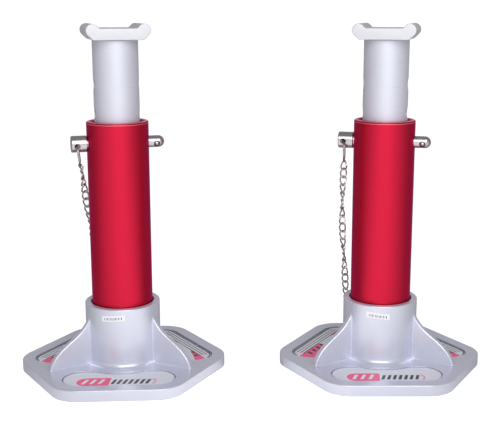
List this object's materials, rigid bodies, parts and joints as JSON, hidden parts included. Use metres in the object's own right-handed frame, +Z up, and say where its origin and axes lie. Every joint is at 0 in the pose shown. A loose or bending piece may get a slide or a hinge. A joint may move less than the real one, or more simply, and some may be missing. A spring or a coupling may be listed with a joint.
{
  "type": "axle stand",
  "caption": "Height-adjustable axle stands: hexagonal cast aluminium base, red tube, drilled sliding post with a lipped saddle, and a locking pin on a chain.",
  "frame": {"origin": "on the floor, midway between the two stands", "axes": "+X runs from the left stand to the right one, +Z is up, and the front label panels face -Y"},
  "size_m": [0.5415, 0.2309, 0.4009],
  "materials": {
    "cast_aluminium": "satin silver-grey casting",
    "red_anodised": "satin red anodised",
    "turned_aluminium": "satin turned",
    "bright_aluminium": "bright machined",
    "plated_steel": "zinc plated and polished",
    "chain_steel": "bright plated wire",
    "black_nylon": "moulded",
    "label_foil": "printed silver foil",
    "sticker_paper": "white printed sticker"
  },
  "bodies": {
    "stand_a": {"base_casting_a": "cast_aluminium", "outer_tube_a": "red_anodised", "tube_screw_left_a": "plated_steel", "tube_screw_right_a": "plated_steel", "label_front_a": "label_foil", "label_left_a": "label_foil", "label_right_a": "label_foil", "serial_sticker_a": "sticker_paper", "chain_a": "chain_steel", "anchor_link_a": "chain_steel", "anchor_screw_a": "plated_steel"},
    "post_a": {"lifting_post_a": "turned_aluminium", "post_plug_a": "turned_aluminium", "guide_ring_a": "black_nylon", "saddle_a": "bright_aluminium", "saddle_screw_a": "plated_steel"},
    "pin_a": {"locking_pin_a": "plated_steel", "split_ring_a": "chain_steel", "detent_spring_a": "plated_steel"},
    "ball_a": {"detent_ball_a": "plated_steel"},
    "stand_b": {"base_casting_b": "cast_aluminium", "outer_tube_b": "red_anodised", "tube_screw_left_b": "plated_steel", "tube_screw_right_b": "plated_steel", "label_front_b": "label_foil", "label_left_b": "label_foil", "label_right_b": "label_foil", "serial_sticker_b": "sticker_paper", "chain_b": "chain_steel", "anchor_link_b": "chain_steel", "anchor_screw_b": "plated_steel"},
    "post_b": {"lifting_post_b": "turned_aluminium", "post_plug_b": "turned_aluminium", "guide_ring_b": "black_nylon", "saddle_b": "bright_aluminium", "saddle_screw_b": "plated_steel"},
    "pin_b": {"locking_pin_b": "plated_steel", "split_ring_b": "chain_steel", "detent_spring_b": "plated_steel"},
    "ball_b": {"detent_ball_b": "plated_steel"}
  },
  "joints": [
    {"name": "stand_b_move", "type": "slide", "parent": "stand_a", "child": "stand_b", "axis": [1, 0, 0], "range_m": [0, 0.5]},
    {"name": "post_lift_a", "type": "slide", "parent": "stand_a", "child": "post_a", "axis": [0, 0, 1], "range_m": [-0.0656, 0.1312]},
    {"name": "pin_draw_a", "type": "slide", "parent": "stand_a", "child": "pin_a", "axis": [-0.9598, -0.2807, 0], "range_m": [0, 0.092], "deforming": ["chain_a"]},
    {"name": "ball_press_a", "type": "slide", "parent": "pin_a", "child": "ball_a", "axis": [-0.2637, 0.9019, 0.342], "range_m": [0, 0.0006], "stiffness_N_per_m": 300, "deforming": ["detent_spring_a"]},
    {"name": "post_lift_b", "type": "slide", "parent": "stand_b", "child": "post_b", "axis": [0, 0, 1], "range_m": [-0.0656, 0.1312]},
    {"name": "pin_draw_b", "type": "slide", "parent": "stand_b", "child": "pin_b", "axis": [-0.9703, 0.2419, 0], "range_m": [0, 0.092], "deforming": ["chain_b"]},
    {"name": "ball_press_b", "type": "slide", "parent": "pin_b", "child": "ball_b", "axis": [0.2347, 0.9415, 0.2419], "range_m": [0, 0.0006], "stiffness_N_per_m": 300, "deforming": ["detent_spring_b"]}
  ]
}
